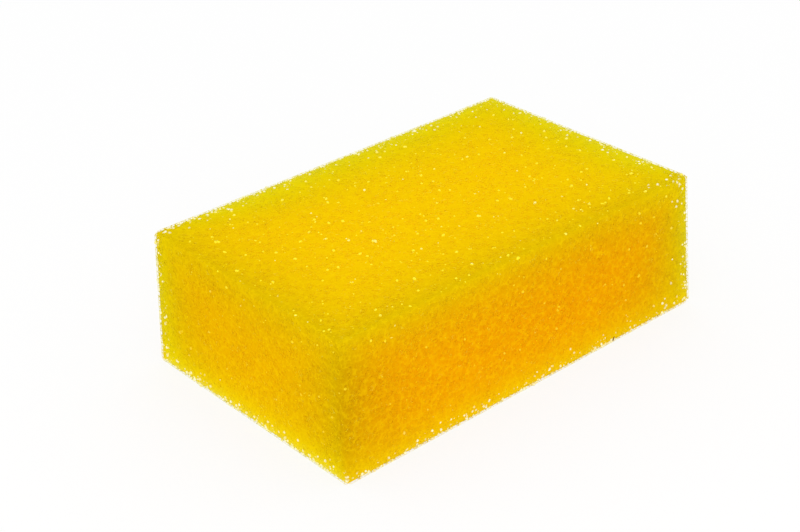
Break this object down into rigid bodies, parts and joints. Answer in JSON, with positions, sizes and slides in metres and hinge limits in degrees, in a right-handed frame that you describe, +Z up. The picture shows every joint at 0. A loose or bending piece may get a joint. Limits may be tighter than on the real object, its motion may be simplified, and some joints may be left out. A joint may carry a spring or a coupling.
{
  "type": "cleaning sponge",
  "caption": "Rectangular household cleaning sponge of coarse open-cell foam, one plain block with sharp sawn edges.",
  "frame": {"origin": "middle of the base, on the surface that the sponge lies on", "axes": "+X along the long edges, +Y along the short edges of the base, +Z up through the height"},
  "size_m": [0.162, 0.103, 0.051],
  "materials": {
    "foam": "coarse open-cell polyurethane foam, dyed bright yellow and slightly translucent"
  },
  "bodies": {
    "root": {"foam_block": "foam"}
  },
  "joints": []
}
